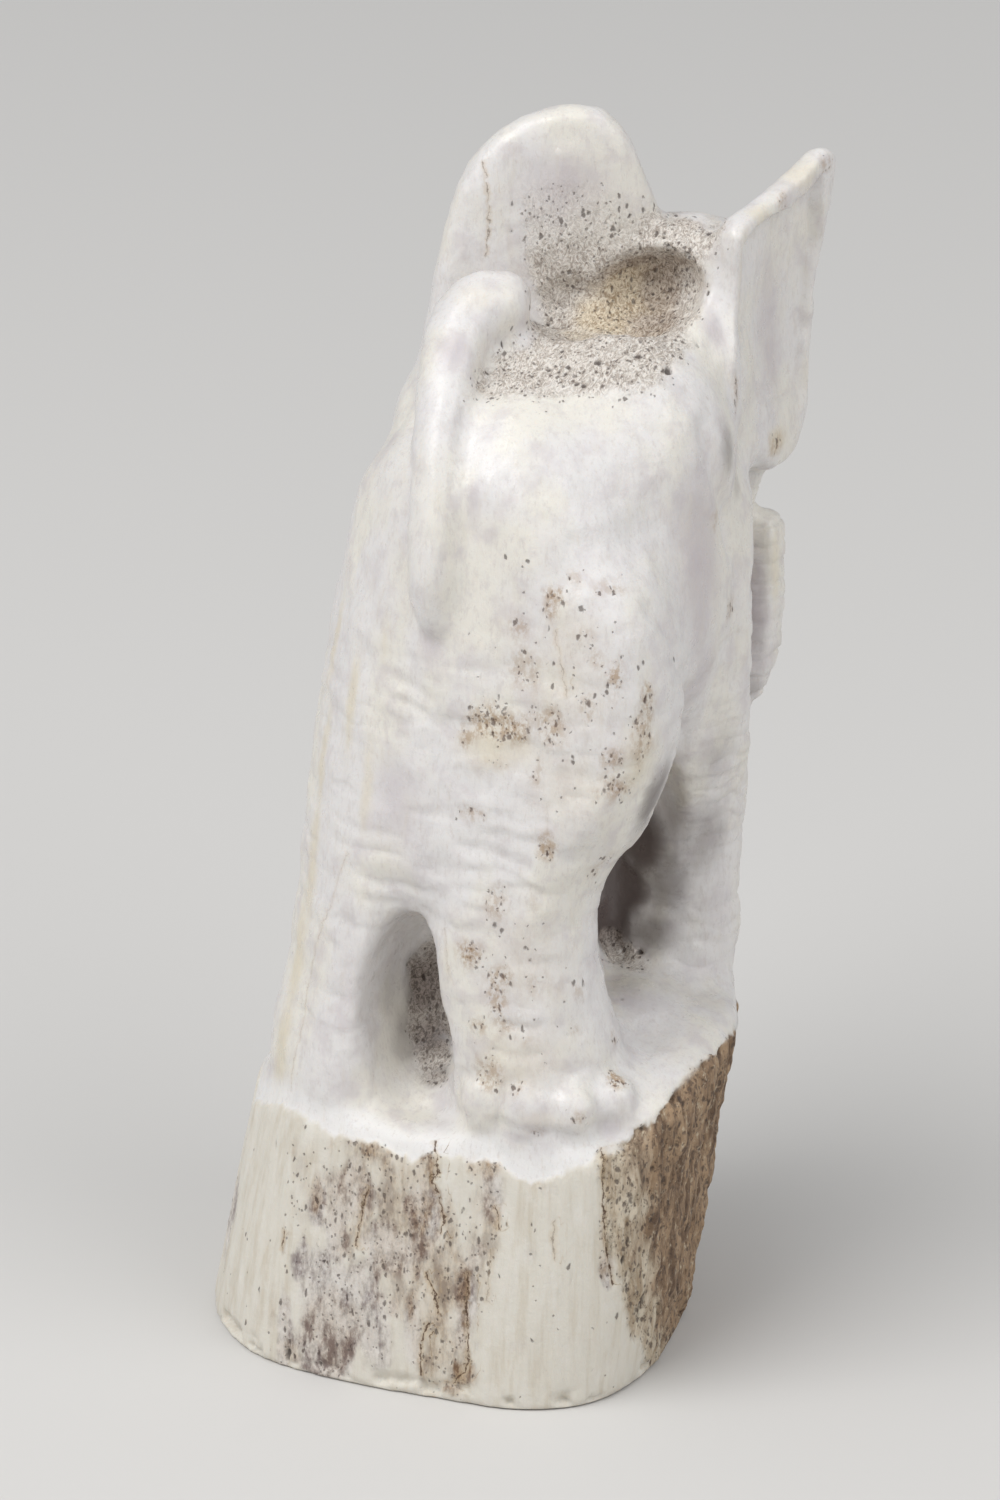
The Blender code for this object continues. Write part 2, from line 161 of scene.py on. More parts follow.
# Cracks as picture points, with half a width and how dark each is; past the reach a crack is forgotten.
CRACK_REACH = 1.1
CRACK_DEPTH = 0.13
CRACKS = (
    (0.09, 1.0, ((435, 1142), (437, 1160), (437, 1175), (431, 1180), (437, 1193), (444, 1220), (441, 1233))),
    (0.08, 0.9, ((427, 1273), (430, 1285), (435, 1297), (437, 1313))),
    (0.09, 1.0, ((427, 1323), (422, 1340), (420, 1357), (421, 1374))),
    (0.07, 0.9, ((367, 1187), (362, 1207), (358, 1227), (357, 1247))),
    (0.10, 0.8, ((468, 1273), (467, 1297), (466, 1320), (467, 1347), (470, 1363), (463, 1375), (454, 1383))),
    (0.07, 0.8, ((495, 1207), (499, 1230))),
    (0.06, 0.6, ((555, 1220), (553, 1247), (555, 1260))),
    (0.07, 0.8, ((284, 1230), (282, 1250))),
    (0.06, 0.5, ((492, 1247), (490, 1273), (487, 1303))),
    (0.08, 0.50, ((483, 162), (485, 177), (488, 200), (489, 223), (488, 240), (486, 257))),
    (0.07, 0.35, (
        (348, 852), (338, 875), (332, 900), (317, 940), (310, 977), (303, 1013), (297, 1043), (289, 1090),
    )),
    (0.06, 0.5, ((555, 630), (558, 653), (563, 677), (568, 697))),
    (0.05, 0.4, ((548, 800), (548, 825), (547, 850))),
    (0.06, 0.45, ((444, 927), (448, 960), (449, 980))),
    (0.09, 1.0, ((602, 1150), (603, 1200), (606, 1240), (610, 1262), (614, 1285))),
)

# Grooves left by the carver between one form and the next: half width, depth, picture points.
GROOVES = (
    (0.7, 0.34, ((414, 420), (408, 470), (405, 540), (404, 590), (412, 622), (428, 640))),
    (1.1, 0.30, ((466, 425), (464, 470), (462, 540), (459, 590), (450, 625), (440, 642))),
    (0.8, 0.34, ((652, 612), (668, 632), (680, 662), (686, 700), (683, 735), (674, 758))),
    (0.6, 0.22, ((396, 680), (414, 688), (430, 702), (446, 722))),
    (0.5, 0.20, ((398, 700), (412, 706), (426, 714), (436, 728))),
    (0.6, 0.22, ((458, 846), (482, 850), (512, 862), (540, 880))),
    (0.5, 0.20, ((496, 868), (518, 878), (540, 896))),
    (0.9, 0.26, ((440, 720), (438, 770), (432, 820), (430, 870))),
    (0.9, 0.55, ((704, 428), (711, 460), (720, 490), (727, 520), (731, 552))),
    (0.7, 0.30, ((736, 560), (737, 620), (738, 680))),
    (0.6, 0.20, ((462, 1112), (505, 1126), (560, 1136), (610, 1124))),
)

# Brown stains with pits in them.
STAINS = (
    (565, 690, 6.5, 9.0, 0.10), (520, 985, 3.6, 8.0, 0.10), (552, 605, 0.6, 1.6, 1.0),
    (518, 628, 0.8, 0.9, 0.6), (520, 668, 1.2, 1.5, 0.5), (497, 726, 2.9, 1.4, 0.9),
    (466, 738, 0.8, 1.0, 0.8), (549, 728, 1.5, 1.6, 0.8), (575, 574, 0.6, 0.6, 0.4),
    (603, 590, 0.9, 0.7, 0.4), (618, 588, 0.7, 0.6, 0.6), (583, 638, 0.8, 0.6, 0.4),
    (597, 661, 0.6, 0.6, 0.5), (615, 681, 0.8, 1.8, 0.9), (648, 706, 0.7, 1.6, 0.8),
    (642, 740, 1.1, 2.8, 0.7), (587, 710, 0.6, 1.3, 0.5), (612, 757, 1.0, 1.2, 0.7),
    (538, 776, 0.5, 1.4, 0.5), (617, 792, 1.7, 1.3, 0.8), (473, 814, 1.2, 0.6, 0.6),
    (500, 765, 0.9, 0.4, 0.4), (547, 845, 0.8, 1.2, 0.9), (497, 905, 0.9, 1.5, 0.6),
    (530, 905, 0.6, 0.6, 0.3), (600, 868, 1.2, 2.0, 0.4), (470, 953, 1.1, 1.1, 1.0),
    (499, 975, 1.2, 0.8, 0.8), (498, 1002, 0.7, 2.3, 0.8), (477, 1027, 0.8, 0.5, 0.7),
    (506, 1026, 0.6, 0.6, 0.6), (534, 985, 0.6, 0.8, 0.4), (548, 987, 0.4, 0.5, 0.4),
    (577, 992, 0.8, 1.0, 0.5), (527, 1042, 0.5, 0.4, 0.4), (577, 1031, 0.5, 0.7, 0.5),
    (492, 1076, 1.5, 1.4, 0.7), (516, 1092, 0.4, 1.1, 0.8), (616, 1080, 0.8, 1.9, 1.0),
    (580, 1118, 0.7, 0.6, 0.6), (488, 1118, 0.4, 0.3, 0.4), (537, 1134, 0.6, 0.4, 0.5),
    (613, 1038, 0.4, 0.8, 0.5), (783, 200, 0.5, 1.0, 0.7), (826, 165, 0.7, 0.8, 0.6),
    (775, 445, 1.3, 0.9, 0.6), (735, 392, 0.7, 1.4, 0.5),
)
# Patches on the sides that the picture doesn't show have an angle and a height instead of the point.
HIDDEN_STAINS = (
    (20, 58, 1.4, 1.2, 0.7), (34, 51, 0.9, 1.8, 0.6), (8, 66, 0.8, 0.8, 0.5),
    (64, 47, 1.0, 1.3, 0.7), (150, 60, 1.3, 2.0, 0.7), (172, 50, 0.9, 0.9, 0.5),
    (196, 57, 0.8, 1.6, 0.6), (128, 33, 0.9, 1.3, 0.6), (160, 35, 1.1, 0.8, 0.7),
    (205, 40, 0.7, 1.4, 0.5), (48, 33, 0.8, 1.2, 0.7), (182, 70, 0.7, 0.7, 0.4),
)
# Worn patches on the cream side of the base, where grey-lilac spongy antler shows.
WORN_PATCHES = (
    (338, 1302, 4.2, 5.4, 1.0), (385, 1248, 2.4, 2.6, 0.9), (330, 1352, 3.2, 2.6, 0.85),
    (352, 1196, 2.4, 2.8, 0.55), (425, 1222, 1.6, 3.8, 0.9), (318, 1206, 0.9, 2.4, 0.75),
    (337, 1245, 1.6, 2.6, 0.8), (372, 1335, 2.0, 2.8, 0.6), (285, 1330, 0.9, 3.4, 0.7),
    (466, 1312, 1.1, 4.2, 0.75), (412, 1330, 0.8, 3.6, 0.5), (494, 1190, 1.1, 2.6, 0.75),
    (478, 1255, 1.0, 1.6, 0.5), (548, 1190, 1.0, 0.6, 0.3), (532, 1256, 0.6, 0.6, 0.3),
    (610, 1262, 0.8, 2.4, 0.8), (520, 1345, 1.2, 1.0, 0.25),
)
# Brown streaks on the cream side of the base.
BROWN_STREAKS = (
    (350, 1215, 2.8, 7.5, 0.5), (400, 1235, 3.0, 8.5, 0.55), (438, 1290, 2.6, 8.0, 0.6),
    (482, 1235, 1.9, 6.5, 0.45), (330, 1330, 3.6, 4.6, 0.45), (300, 1180, 1.6, 4.0, 0.3),
    (425, 1172, 1.1, 2.4, 1.0), (424, 1212, 0.8, 2.8, 0.8), (430, 1245, 1.1, 1.2, 0.6),
    (462, 1290, 0.7, 2.8, 0.7), (464, 1335, 0.6, 3.0, 0.7), (464, 1374, 1.5, 1.2, 1.0),
    (448, 1388, 1.4, 0.7, 0.8), (411, 1306, 0.4, 2.6, 0.7), (372, 1148, 0.8, 1.0, 1.0),
    (384, 1158, 0.6, 1.2, 0.7), (357, 1172, 1.4, 1.0, 0.6), (316, 1192, 0.7, 1.8, 0.7),
    (331, 1142, 0.3, 0.8, 0.6), (296, 1148, 0.3, 0.5, 0.9), (450, 1148, 0.5, 1.2, 0.7),
    (474, 1168, 1.0, 0.8, 0.8), (492, 1164, 1.2, 1.4, 0.9), (345, 1232, 0.8, 1.6, 0.5),
    (284, 1238, 0.3, 1.6, 0.6), (272, 1310, 0.5, 2.4, 0.5), (540, 1186, 0.8, 0.5, 0.5),
    (606, 1244, 0.6, 3.0, 0.9), (606, 1168, 0.6, 2.2, 0.7), (495, 1218, 0.5, 1.6, 0.6),
    (440, 1262, 1.2, 0.6, 0.4), (290, 1352, 1.2, 1.0, 0.5),
)
# The same on the hidden sides.
HIDDEN_PATCHES = (
    (115, 11, 3.5, 5.0, 0.9), (143, 7, 2.0, 4.0, 0.8), (172, 13, 2.2, 3.5, 0.8),
    (208, 8, 1.8, 4.5, 0.6),
)
# Painted shade: brown-pink darkening inside the side hollow and the arch, on the fore leg's inner wall,
# under the right ear and beside the trunk.
PAINTED_SHADE_PATCHES = (
    (608, 915, 3.2, 3.4, 1.0), (622, 885, 3.6, 4.4, 1.0), (640, 842, 3.4, 4.6, 0.9),
    (655, 800, 3.2, 5.0, 0.7), (664, 880, 3.2, 5.0, 0.6), (682, 830, 3.2, 5.5, 0.45),
    (650, 930, 3.2, 2.4, 0.6), (700, 900, 3.0, 4.0, 0.25), (706, 835, 3.2, 6.0, 0.45),
    (716, 760, 2.6, 5.0, 0.35), (424, 985, 2.8, 4.6, 0.75), (432, 1035, 2.4, 3.8, 0.7),
    (408, 1035, 2.6, 4.2, 0.5), (392, 990, 2.0, 4.4, 0.35), (438, 1074, 2.0, 1.4, 0.5),
    (728, 450, 2.0, 3.0, 0.5), (736, 482, 1.4, 2.2, 0.4), (752, 690, 1.6, 1.6, 0.45),
)
# Ochre in the scooped hollow, and the darker brown round it.
OCHRE = (
    (632, 288, 4.0, 3.0, 1.0), (606, 318, 3.4, 2.2, 0.9), (582, 334, 2.6, 1.2, 0.5),
    (646, 330, 2.4, 1.8, 0.6),
)
UMBER = (
    (662, 290, 2.0, 3.4, 1.0), (655, 325, 2.6, 2.4, 0.9), (636, 262, 2.6, 0.8, 1.0),
    (612, 272, 1.8, 0.8, 0.6), (676, 262, 2.2, 0.8, 0.7), (700, 216, 3.4, 0.9, 0.6),
    (480, 392, 1.4, 0.6, 0.6),
)
# Cream drifts on the polished parts.
CREAM = (
    (352, 700, 0.9, 9.0, 0.8), (366, 790, 0.8, 9.0, 0.6), (335, 640, 0.9, 8.0, 0.8),
    (322, 760, 1.0, 9.0, 0.8), (385, 640, 0.6, 5.0, 0.5), (312, 860, 1.3, 9.0, 0.8),
    (298, 960, 1.5, 9.0, 0.8), (280, 1060, 1.8, 7.0, 0.9), (500, 748, 4.5, 2.4, 0.6),
    (560, 690, 5.0, 6.0, 0.35), (640, 760, 2.6, 4.4, 0.6), (570, 790, 4.6, 4.4, 0.4),
    (570, 640, 3.0, 3.5, 0.35), (520, 960, 4.6, 5.0, 0.35), (520, 1060, 4.6, 4.0, 0.45),
    (478, 296, 2.6, 1.4, 0.4), (743, 300, 0.6, 8.0, 0.6), (760, 215, 1.4, 2.2, 0.6),
    (800, 175, 2.4, 1.6, 0.5), (778, 440, 2.4, 1.2, 0.8), (776, 560, 0.6, 5.0, 0.6),
    (460, 190, 0.6, 6.0, 0.3), (540, 1120, 3.6, 1.0, 0.4),
)
# Lilac-grey drifts on the polished parts: partly the antler's own cool tone, as on the left hip, and partly
# painted shade on the right flank, the neck, the ear's face, under the ear and in the hollows.
LILAC_AND_SHADE = (
    (700, 560, 3.6, 10.0, 0.8), (700, 680, 2.8, 5.0, 0.7), (395, 805, 3.0, 5.0, 0.6),
    (420, 870, 2.2, 2.6, 0.4), (346, 980, 2.4, 6.0, 0.3), (714, 330, 1.3, 7.0, 0.8),
    (776, 330, 2.6, 9.0, 0.6), (452, 350, 1.8, 2.6, 0.9), (566, 190, 4.6, 4.0, 0.7),
    (755, 600, 1.0, 8.0, 0.9), (473, 500, 0.8, 7.0, 0.6), (432, 655, 2.0, 2.0, 0.5),
    (735, 470, 1.4, 3.0, 0.7), (640, 1000, 3.0, 3.0, 0.5), (700, 1000, 2.4, 2.4, 0.2),
    (385, 450, 1.6, 5.0, 0.5), (610, 1130, 1.6, 1.0, 0.6), (510, 1136, 3.0, 0.6, 0.5),
    (720, 900, 1.6, 5.0, 0.4),
)

# The hollowed outer face of the right ear, as picture points round its edge, and its depth by pixels
# down the picture.
EAR_FACE = (
    (743, 246), (757, 228), (777, 214), (792, 209), (808, 193), (824, 172), (821, 240),
    (812, 300), (806, 350), (808, 390), (802, 425), (786, 442), (764, 440), (750, 425),
    (742, 400), (740, 340), (742, 290),
)
EAR_FACE_DEPTH = ((200, 1.10), (300, 0.80), (380, 0.45), (440, 0.10))
# Raised edges: half width, height, picture points.
RIDGES = (
    (1.5, 0.42, ((440, 425), (436, 480), (434, 540), (431, 585), (431, 615))),
    (0.50, 0.30, ((737, 238), (734, 270), (732, 320), (731, 370), (734, 398))),
    (0.45, 0.16, ((816, 250), (809, 300), (803, 345))),
    (0.60, 0.25, ((770, 530), (771, 580), (768, 630), (762, 675))),
)

# Trunk, as (x, y, z, radius) down the face and up again to the tip.
TRUNK = (
    (13.2, 19.5, 71.0, 4.2), (12.6, 19.9, 65.0, 3.2), (12.0, 20.0, 56.0, 2.9),
    (12.2, 20.0, 50.0, 2.7),
)
TRUNK_END = ((15.6, 20.5, 48.5, 2.2), (16.4, 20.9, 54.0, 2.0), (16.5, 21.2, 59.3, 1.8))
TRUNK_RING = 1.5
TRUNK_RING_DEPTH = 0.15

# Wrinkles round the hips and legs, and ribs down the front of the fore legs.
WRINKLE_DEPTH = 0.09
RIB_STEP = 1.45
RIB_DEPTH = 0.10

# Relief of the uncut antler: furrows, the torn side with coarse and fine tears, worn patches, the
# chalky band above the bark, and the chips along the lower edge.
FURROW_DEPTH = 0.08
TORN_DEPTH = 0.38
FINE_TORN_DEPTH = 0.20
TORN_SINK = 0.12
WORN_DEPTH = 0.12
CHALK_DEPTH = 0.14
CHIP_DEPTH = 0.8

# Pores of the spongy core, wide and narrow: spacing, depth, reach as a share of the spacing, share that
# is open, and seed.
WIDE_PORES = (1.2, 0.36, 0.30, 0.15, 81)
NARROW_PORES = (0.66, 0.20, 0.34, 0.26, 86)

# Nailed feet, as the middle of the foot, the way the nails face in degrees, and their reach.
FEET = ((11.1, -7.0, -62, 6.6), (12.8, 14.0, 55, 5.7), (-8.7, 14.0, 125, 5.5))
NAIL_ANGLES = (-48, -16, 16, 48)
NAIL_HEIGHT = 23.9
NAIL_RADIUS = 1.7
NAIL_RISE = 0.30
NAIL_VALLEY = 0.16

# The left eye, which the ear leaves free: the skull's middle, the way the eye looks from there in
# degrees, its size, and the relief of ball, socket and lid.
SKULL = (10.4, 15.0, 76.4)
EYE_TURN = 98
EYE_RADIUS = 1.1
EYE_RISE = 0.38
SOCKET_DEPTH = 0.34
LID_RISE = 0.16


def lean(z):
    """Where the antler's axis is at each height."""
    above = np.maximum(z - BASE_TOP, 0)
    reach = LEAN_AT_BASE_TOP + LEAN_SLOPE * above + LEAN_BEND * above**2
    reach = np.where(z < BASE_TOP, LEAN_AT_BASE_TOP * z / BASE_TOP, reach)
    return reach * math.cos(LEAN_TOWARD), reach * math.sin(LEAN_TOWARD)


def smooth_step(low, high, value):
    """0 below low, 1 above high, and an easy curve between."""
    share = np.clip((value - low) / (high - low), 0, 1)
    return share * share * (3 - 2 * share)


def scattered(cells, seed):
    """A repeatable number from 0 to 1 for each whole-number place."""
    whole = cells.astype(np.int64).astype(np.uint64)
    mixed = whole[..., 0] * np.uint64(73856093)
    mixed ^= whole[..., 1] * np.uint64(19349663)
    mixed ^= whole[..., 2] * np.uint64(83492791)
    mixed ^= np.uint64(seed * 2654435761 + 97)
    for _ in range(2):
        mixed ^= mixed >> np.uint64(15)
        mixed *= np.uint64(2246822519)
        mixed ^= mixed >> np.uint64(13)
    return (mixed & np.uint64(0xFFFFFF)).astype(float) / 0xFFFFFF


def noise(places, seed):
    """Smooth noise from -1 to 1, with a new value at each whole number."""
    low = np.floor(places)
    part = places - low
    ease = part * part * (3 - 2 * part)
    total = np.zeros(len(places))
    for corner in itertools.product((0, 1), repeat=3):
        weight = np.prod(np.where(np.array(corner) == 1, ease, 1 - ease), axis=1)
        total += weight * scattered(low + corner, seed)
    return total * 2 - 1


def rough_noise(places, seed, layers):
    """Noise with finer noise laid over it."""
    total = np.zeros(len(places))
    for layer in range(layers):
        total += noise(places * 2.03**layer, seed + layer) * 0.5**layer
    return total


def pore_field(places, seed):
    """Distance to the nearest scattered pore, and that pore's own number from 0 to 1."""
    low = np.floor(places)
    nearest = np.full(len(places), FAR)
    number = np.zeros(len(places))
    for step in itertools.product((-1, 0, 1), repeat=3):
        cell = low + step
        middle = cell + np.stack([scattered(cell, seed + axis) for axis in range(3)], axis=1)
        gap = np.linalg.norm(middle - places, axis=1)
        closer = gap < nearest
        nearest = np.where(closer, gap, nearest)
        number = np.where(closer, scattered(cell, seed + 3), number)
    return nearest, number


def toward(azimuth, elevation):
    """A direction away from the carving; azimuth 0 is straight behind the elephant, 90 degrees its right."""
    level = math.cos(elevation)
    return Vector((math.sin(azimuth) * level, -math.cos(azimuth) * level, math.sin(elevation)))


def view_axes():
    """Toward the camera, to the picture's right and up the picture."""
    back = toward(CAMERA_AZIMUTH, CAMERA_ELEVATION)
    right = Vector((math.cos(CAMERA_AZIMUTH), math.sin(CAMERA_AZIMUTH), 0))
    return back, right, back.cross(right)


def camera_place():
    """Where the photograph was taken from."""
    return CAMERA_TARGET + view_axes()[0] * CAMERA_DISTANCE


def sight_line(x, y):
    """The direction from the camera through a picture point."""
    back, right, up = view_axes()
    across = (x - PICTURE_WIDTH / 2) * PIXEL
    rise = (PICTURE_HEIGHT / 2 - y) * PIXEL
    return (right * across + up * rise - back * CAMERA_DISTANCE).normalized()


def on_picture(places):
    """The picture point of each place."""
    back, right, up = (np.array(axis) for axis in view_axes())
    offset = places - np.array(camera_place())
    scale = CAMERA_DISTANCE / PIXEL / -(offset @ back)
    across = PICTURE_WIDTH / 2 + offset @ right * scale
    down = PICTURE_HEIGHT / 2 - offset @ up * scale
    return np.stack([across, down], axis=1)


def picture_spot(tree, x, y):
    """The place on the surface that shows at a picture point."""
    place = tree.ray_cast(camera_place(), sight_line(x, y))[0]
    if place is None:
        raise ValueError(f"nothing shows at picture point {x}, {y}")
    return np.array(place)


def side_spot(tree, angle, height):
    """The outermost place on the surface at an angle round the axis and a height."""
    turn = math.radians(angle)
    outward = Vector((math.cos(turn), math.sin(turn), 0))
    x, y = lean(np.array(height, float))
    place = tree.ray_cast(Vector((float(x), float(y), height)) + outward * 60, -outward)[0]
    if place is None:
        raise ValueError(f"no surface at angle {angle}, height {height}")
    return np.array(place)


def fine_copy():
    """The solid's form refilled with small even faces and smoothed, as a new object."""
    thing = bpy.data.objects.new("antler_surface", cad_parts[NODE].data.copy())
    bpy.context.scene.collection.objects.link(thing)
    refill = thing.modifiers.new("refill", "REMESH")
    refill.mode = "VOXEL"
    refill.voxel_size = SKIN_VOXEL / METRE
    soften = thing.modifiers.new("soften", "SMOOTH")
    soften.factor = 0.5
    soften.iterations = SMOOTHING
    return apply_modifiers(thing)


def apply_modifiers(thing):
    """Replace an object's mesh by what its modifiers make of it."""
    bpy.context.view_layer.update()
    graph = bpy.context.evaluated_depsgraph_get()
    mesh = bpy.data.meshes.new_from_object(thing.evaluated_get(graph))
    thing.modifiers.clear()
    thing.data = mesh
    return thing


def read_skin(thing):
    """Places, normals and what is measured from them, for every point of the fine skin."""
    count = len(thing.data.vertices)
    places = np.zeros(count * 3, np.float32)
    normals = np.zeros(count * 3, np.float32)
    thing.data.vertices.foreach_get("co", places)
    thing.data.vertex_normals.foreach_get("vector", normals)
    places = places.reshape(-1, 3).astype(float) * METRE
    normals = normals.reshape(-1, 3).astype(float)
    tree = BVHTree.FromPolygons(places.tolist(), [face.vertices[:] for face in thing.data.polygons])
    axis_x, axis_y = lean(places[:, 2])
    x = places[:, 0] - axis_x
    y = places[:, 1] - axis_y
    return SimpleNamespace(
        places=places,
        normals=normals,
        tree=tree,
        height=places[:, 2],
        angle=np.degrees(np.arctan2(y, x)),
        radius=np.hypot(x, y),
        picture=on_picture(places),
        facing=normals @ np.array(view_axes()[0]),
    )


def spot_mask(skin, shown, ragged=RAGGED, hidden=()):
    """The patches of a table for the side that shows and one for the rest; the less ragged the softer."""
    spots = [(picture_spot(skin.tree, x, y), *patch) for x, y, *patch in shown]
    spots += [(side_spot(skin.tree, angle, height), *patch) for angle, height, *patch in hidden]
    mask = np.zeros(len(skin.places))
    wobble = 0.40 * noise(skin.places * (0.9, 0.9, 0.45), 21)
    wobble += 0.26 * noise(skin.places * (2.3, 2.3, 1.2), 22)
    for place, half_width, half_height, strength in spots:
        offset = skin.places - place
        near = np.flatnonzero(np.abs(offset).max(axis=1) < 1.6 * max(half_width, half_height))
        across = np.hypot(offset[near, 0], offset[near, 1]) / half_width
        reach = np.hypot(across, offset[near, 2] / half_height) + wobble[near] * ragged
        mask[near] = np.maximum(mask[near], strength * (1 - smooth_step(0.45 * ragged, 1.3, reach)))
    return mask


def mark_bark(skin, marks):
    """Uncut antler on the base: cream on most sides, rough and brown on one."""
    across, down = skin.picture.T
    shown = skin.facing > 0.04
    inside = (down - np.interp(across, *zip(*BARK_EDGE))) * PIXEL
    inside = np.where(shown, inside, np.interp(skin.angle, *zip(*HIDDEN_BARK_EDGE)) - skin.height)
    coarse = 0.30 * noise(skin.places * (1.3, 1.3, 0.4), 31)
    ragged = coarse + 0.22 * noise(skin.places * (3.1, 3.1, 1.2), 32)
    steep = 1 - smooth_step(0.60, 0.85, np.abs(skin.normals[:, 2])) * (skin.height > BASE_TOP - 1)
    bark = smooth_step(-0.18, 0.26, inside + ragged) * steep * (skin.height < BASE_TOP + 7)
    edges = np.interp(down, *zip(*ROUGH_EDGE))
    start = (across - edges) * PIXEL + 0.5 * noise(skin.places * (1.6, 1.6, 0.35), 33)
    start = start + 0.3 * noise(skin.places * (3.6, 3.6, 1.1), 34)
    first, last = ROUGH_ENDS
    end = last + 7 * noise(skin.places * 0.3, 35) - skin.angle
    hidden = smooth_step(-2, 2, skin.angle - first) * smooth_step(-6, 6, end)
    side = np.where(shown, smooth_step(-0.25, 0.4, start), hidden)
    brown = smooth_step(1.0, 4.5, start + 1.2 * noise(skin.places * 0.5, 36))
    marks["bark"] = bark
    marks["rough"] = side * bark
    marks["brown_side"] = marks["rough"] * np.where(shown, brown, 1)
    band = smooth_step(-3.0, -1.0, inside) * (skin.height < BASE_TOP + 3.5)
    marks["chalk"] = (1 - bark) * band * (1 - side)


def mark_core(skin, marks):
    """Spongy core where the back is cut open and between the legs, and worn patches on the base."""
    depth = in_outline(skin.picture, CORE_OUTLINE)
    depth = depth + 9 * noise(skin.places * 0.9, 41) + 5 * noise(skin.places * 2.1, 42)
    shown = (skin.facing > -0.15) & (skin.height > 70)
    strength = np.interp(skin.picture[:, 1], *zip(*CORE_STRENGTH))
    strength = np.where(skin.picture[:, 0] > 640, 1.0, strength)
    upper = strength * smooth_step(-10, 36, depth) * shown
    reach = LOW_CORE_RADIUS + 0.9 * noise(skin.places * 0.5, 43) + 0.4 * noise(skin.places * 1.4, 44)
    lower = smooth_step(-0.5, 0.9, reach - skin.radius)
    lower = lower * smooth_step(BASE_TOP + 0.5, BASE_TOP + 2.0, skin.height)
    seen = spot_mask(skin, LOW_CORE, HALF_SOFT)
    lower = np.maximum(lower, seen) * (skin.height < LOW_CORE_TOP)
    marks["core"] = np.maximum(upper, lower)
    marks["worn"] = spot_mask(skin, WORN_PATCHES, hidden=HIDDEN_PATCHES) * marks["bark"]
    marks["brown"] = spot_mask(skin, BROWN_STREAKS) * marks["bark"]


def mark_stains(skin, marks):
    """Pitted stains, painted shade in the hollows and under the ear, and soft drifts of colour on the
    polished parts and in the scooped hollow; the lilac-grey drifts are partly painted shade.
    """
    marks["stain"] = spot_mask(skin, STAINS, hidden=HIDDEN_STAINS)
    drifts = {"ochre": OCHRE, "umber": UMBER, "painted_shade": PAINTED_SHADE_PATCHES, "cream": CREAM, "lilac": LILAC_AND_SHADE}
    for name, table in drifts.items():
        marks[name] = spot_mask(skin, table, SOFT)


def across_line(skin, points):
    """Signed distance across a line of picture points laid on the surface, and 1 along it fading to 0."""
    side = np.full(len(skin.places), FAR)
    along_it = np.zeros(len(skin.places))
    line = [picture_spot(skin.tree, x, y) for x, y in points]
    for start, end in zip(line, line[1:]):
        length = np.linalg.norm(end - start)
        along = (end - start) / length
        offset = skin.places - (start + end) / 2
        near = np.flatnonzero(np.abs(offset).max(axis=1) < length / 2 + CRACK_REACH + 0.4)
        run = np.abs(offset[near] @ along)
        out = np.cross(along, skin.normals[near])
        across = np.einsum("ij,ij->i", offset[near], out)
        fade = 1 - smooth_step(length / 2 - 0.1, length / 2 + 0.35, run)
        fade = fade * (1 - smooth_step(CRACK_REACH * 0.7, CRACK_REACH, np.abs(across)))
        better = (np.abs(across) < np.abs(side[near])) & (fade > 0)
        side[near[better]] = across[better]
        along_it[near[better]] = np.maximum(along_it[near[better]], fade[better])
    return side, along_it


def mark_cracks(skin, marks):
    """Signed distance across each crack, its width, and how dark it is."""
    side = np.full(len(skin.places), FAR)
    width = np.zeros(len(skin.places))
    for half, dark, points in CRACKS:
        gap, along_it = across_line(skin, points)
        better = (np.abs(gap) < np.abs(side)) & (along_it > 0)
        side[better] = gap[better]
        width[better] = (along_it * half * dark)[better]
    side = side + 0.09 * noise(skin.places * 2.2, 51)
    marks["crack_side"] = np.clip(side, -2, 2)
    marks["crack_width"] = width


def line_gap(skin, points):
    """Distance of every point of the skin from a line of picture points laid on the surface."""
    gap = np.full(len(skin.places), FAR)
    line = [picture_spot(skin.tree, x, y) for x, y in points]
    for start, end in zip(line, line[1:]):
        offset = skin.places - start
        share = np.clip(offset @ (end - start) / np.sum((end - start) ** 2), 0, 1)
        gap = np.minimum(gap, np.linalg.norm(offset - share[:, None] * (end - start), axis=1))
    return gap


def groove_relief(skin):
    """Soft grooves where one carved form meets the next, and raised edges."""
    push = np.zeros(len(skin.places))
    for half, depth, points in GROOVES:
        push = np.minimum(push, -depth * np.exp(-((line_gap(skin, points) / half) ** 2)))
    for half, rise, points in RIDGES:
        push = push + rise * np.exp(-((line_gap(skin, points) / half) ** 2))
    return push


def in_outline(points, outline):
    """Distance inside a closed outline on the picture, in pixels; negative outside."""
    inside = np.zeros(len(points), bool)
    gap = np.full(len(points), np.inf)
    for (x0, y0), (x1, y1) in zip(outline, outline[1:] + outline[:1]):
        crosses = (points[:, 1] < y0) != (points[:, 1] < y1)
        with np.errstate(divide="ignore", invalid="ignore"):
            at = x0 + (points[:, 1] - y0) * (x1 - x0) / (y1 - y0)
        inside ^= crosses & (points[:, 0] < at)
        edge = np.array((x1 - x0, y1 - y0), float)
        offset = points - (x0, y0)
        share = np.clip(offset @ edge / (edge @ edge), 0, 1)
        gap = np.minimum(gap, np.linalg.norm(offset - share[:, None] * edge, axis=1))
    return np.where(inside, gap, -gap)


def ear_relief(skin):
    """The right ear's outer face is hollowed inside a raised rim and has fine upright scratches."""
    inside = in_outline(skin.picture, EAR_FACE) + 1.6 * noise(skin.places * 0.8, 55)
    outer = (skin.facing > 0.1) & (skin.places[:, 0] > 14) & (skin.height > 64)
    face = smooth_step(-2, 5, inside) * outer
    scratches = noise(skin.places * (2.4, 2.4, 0.35), 56)
    return face * (0.07 * scratches - np.interp(skin.picture[:, 1], *zip(*EAR_FACE_DEPTH)))


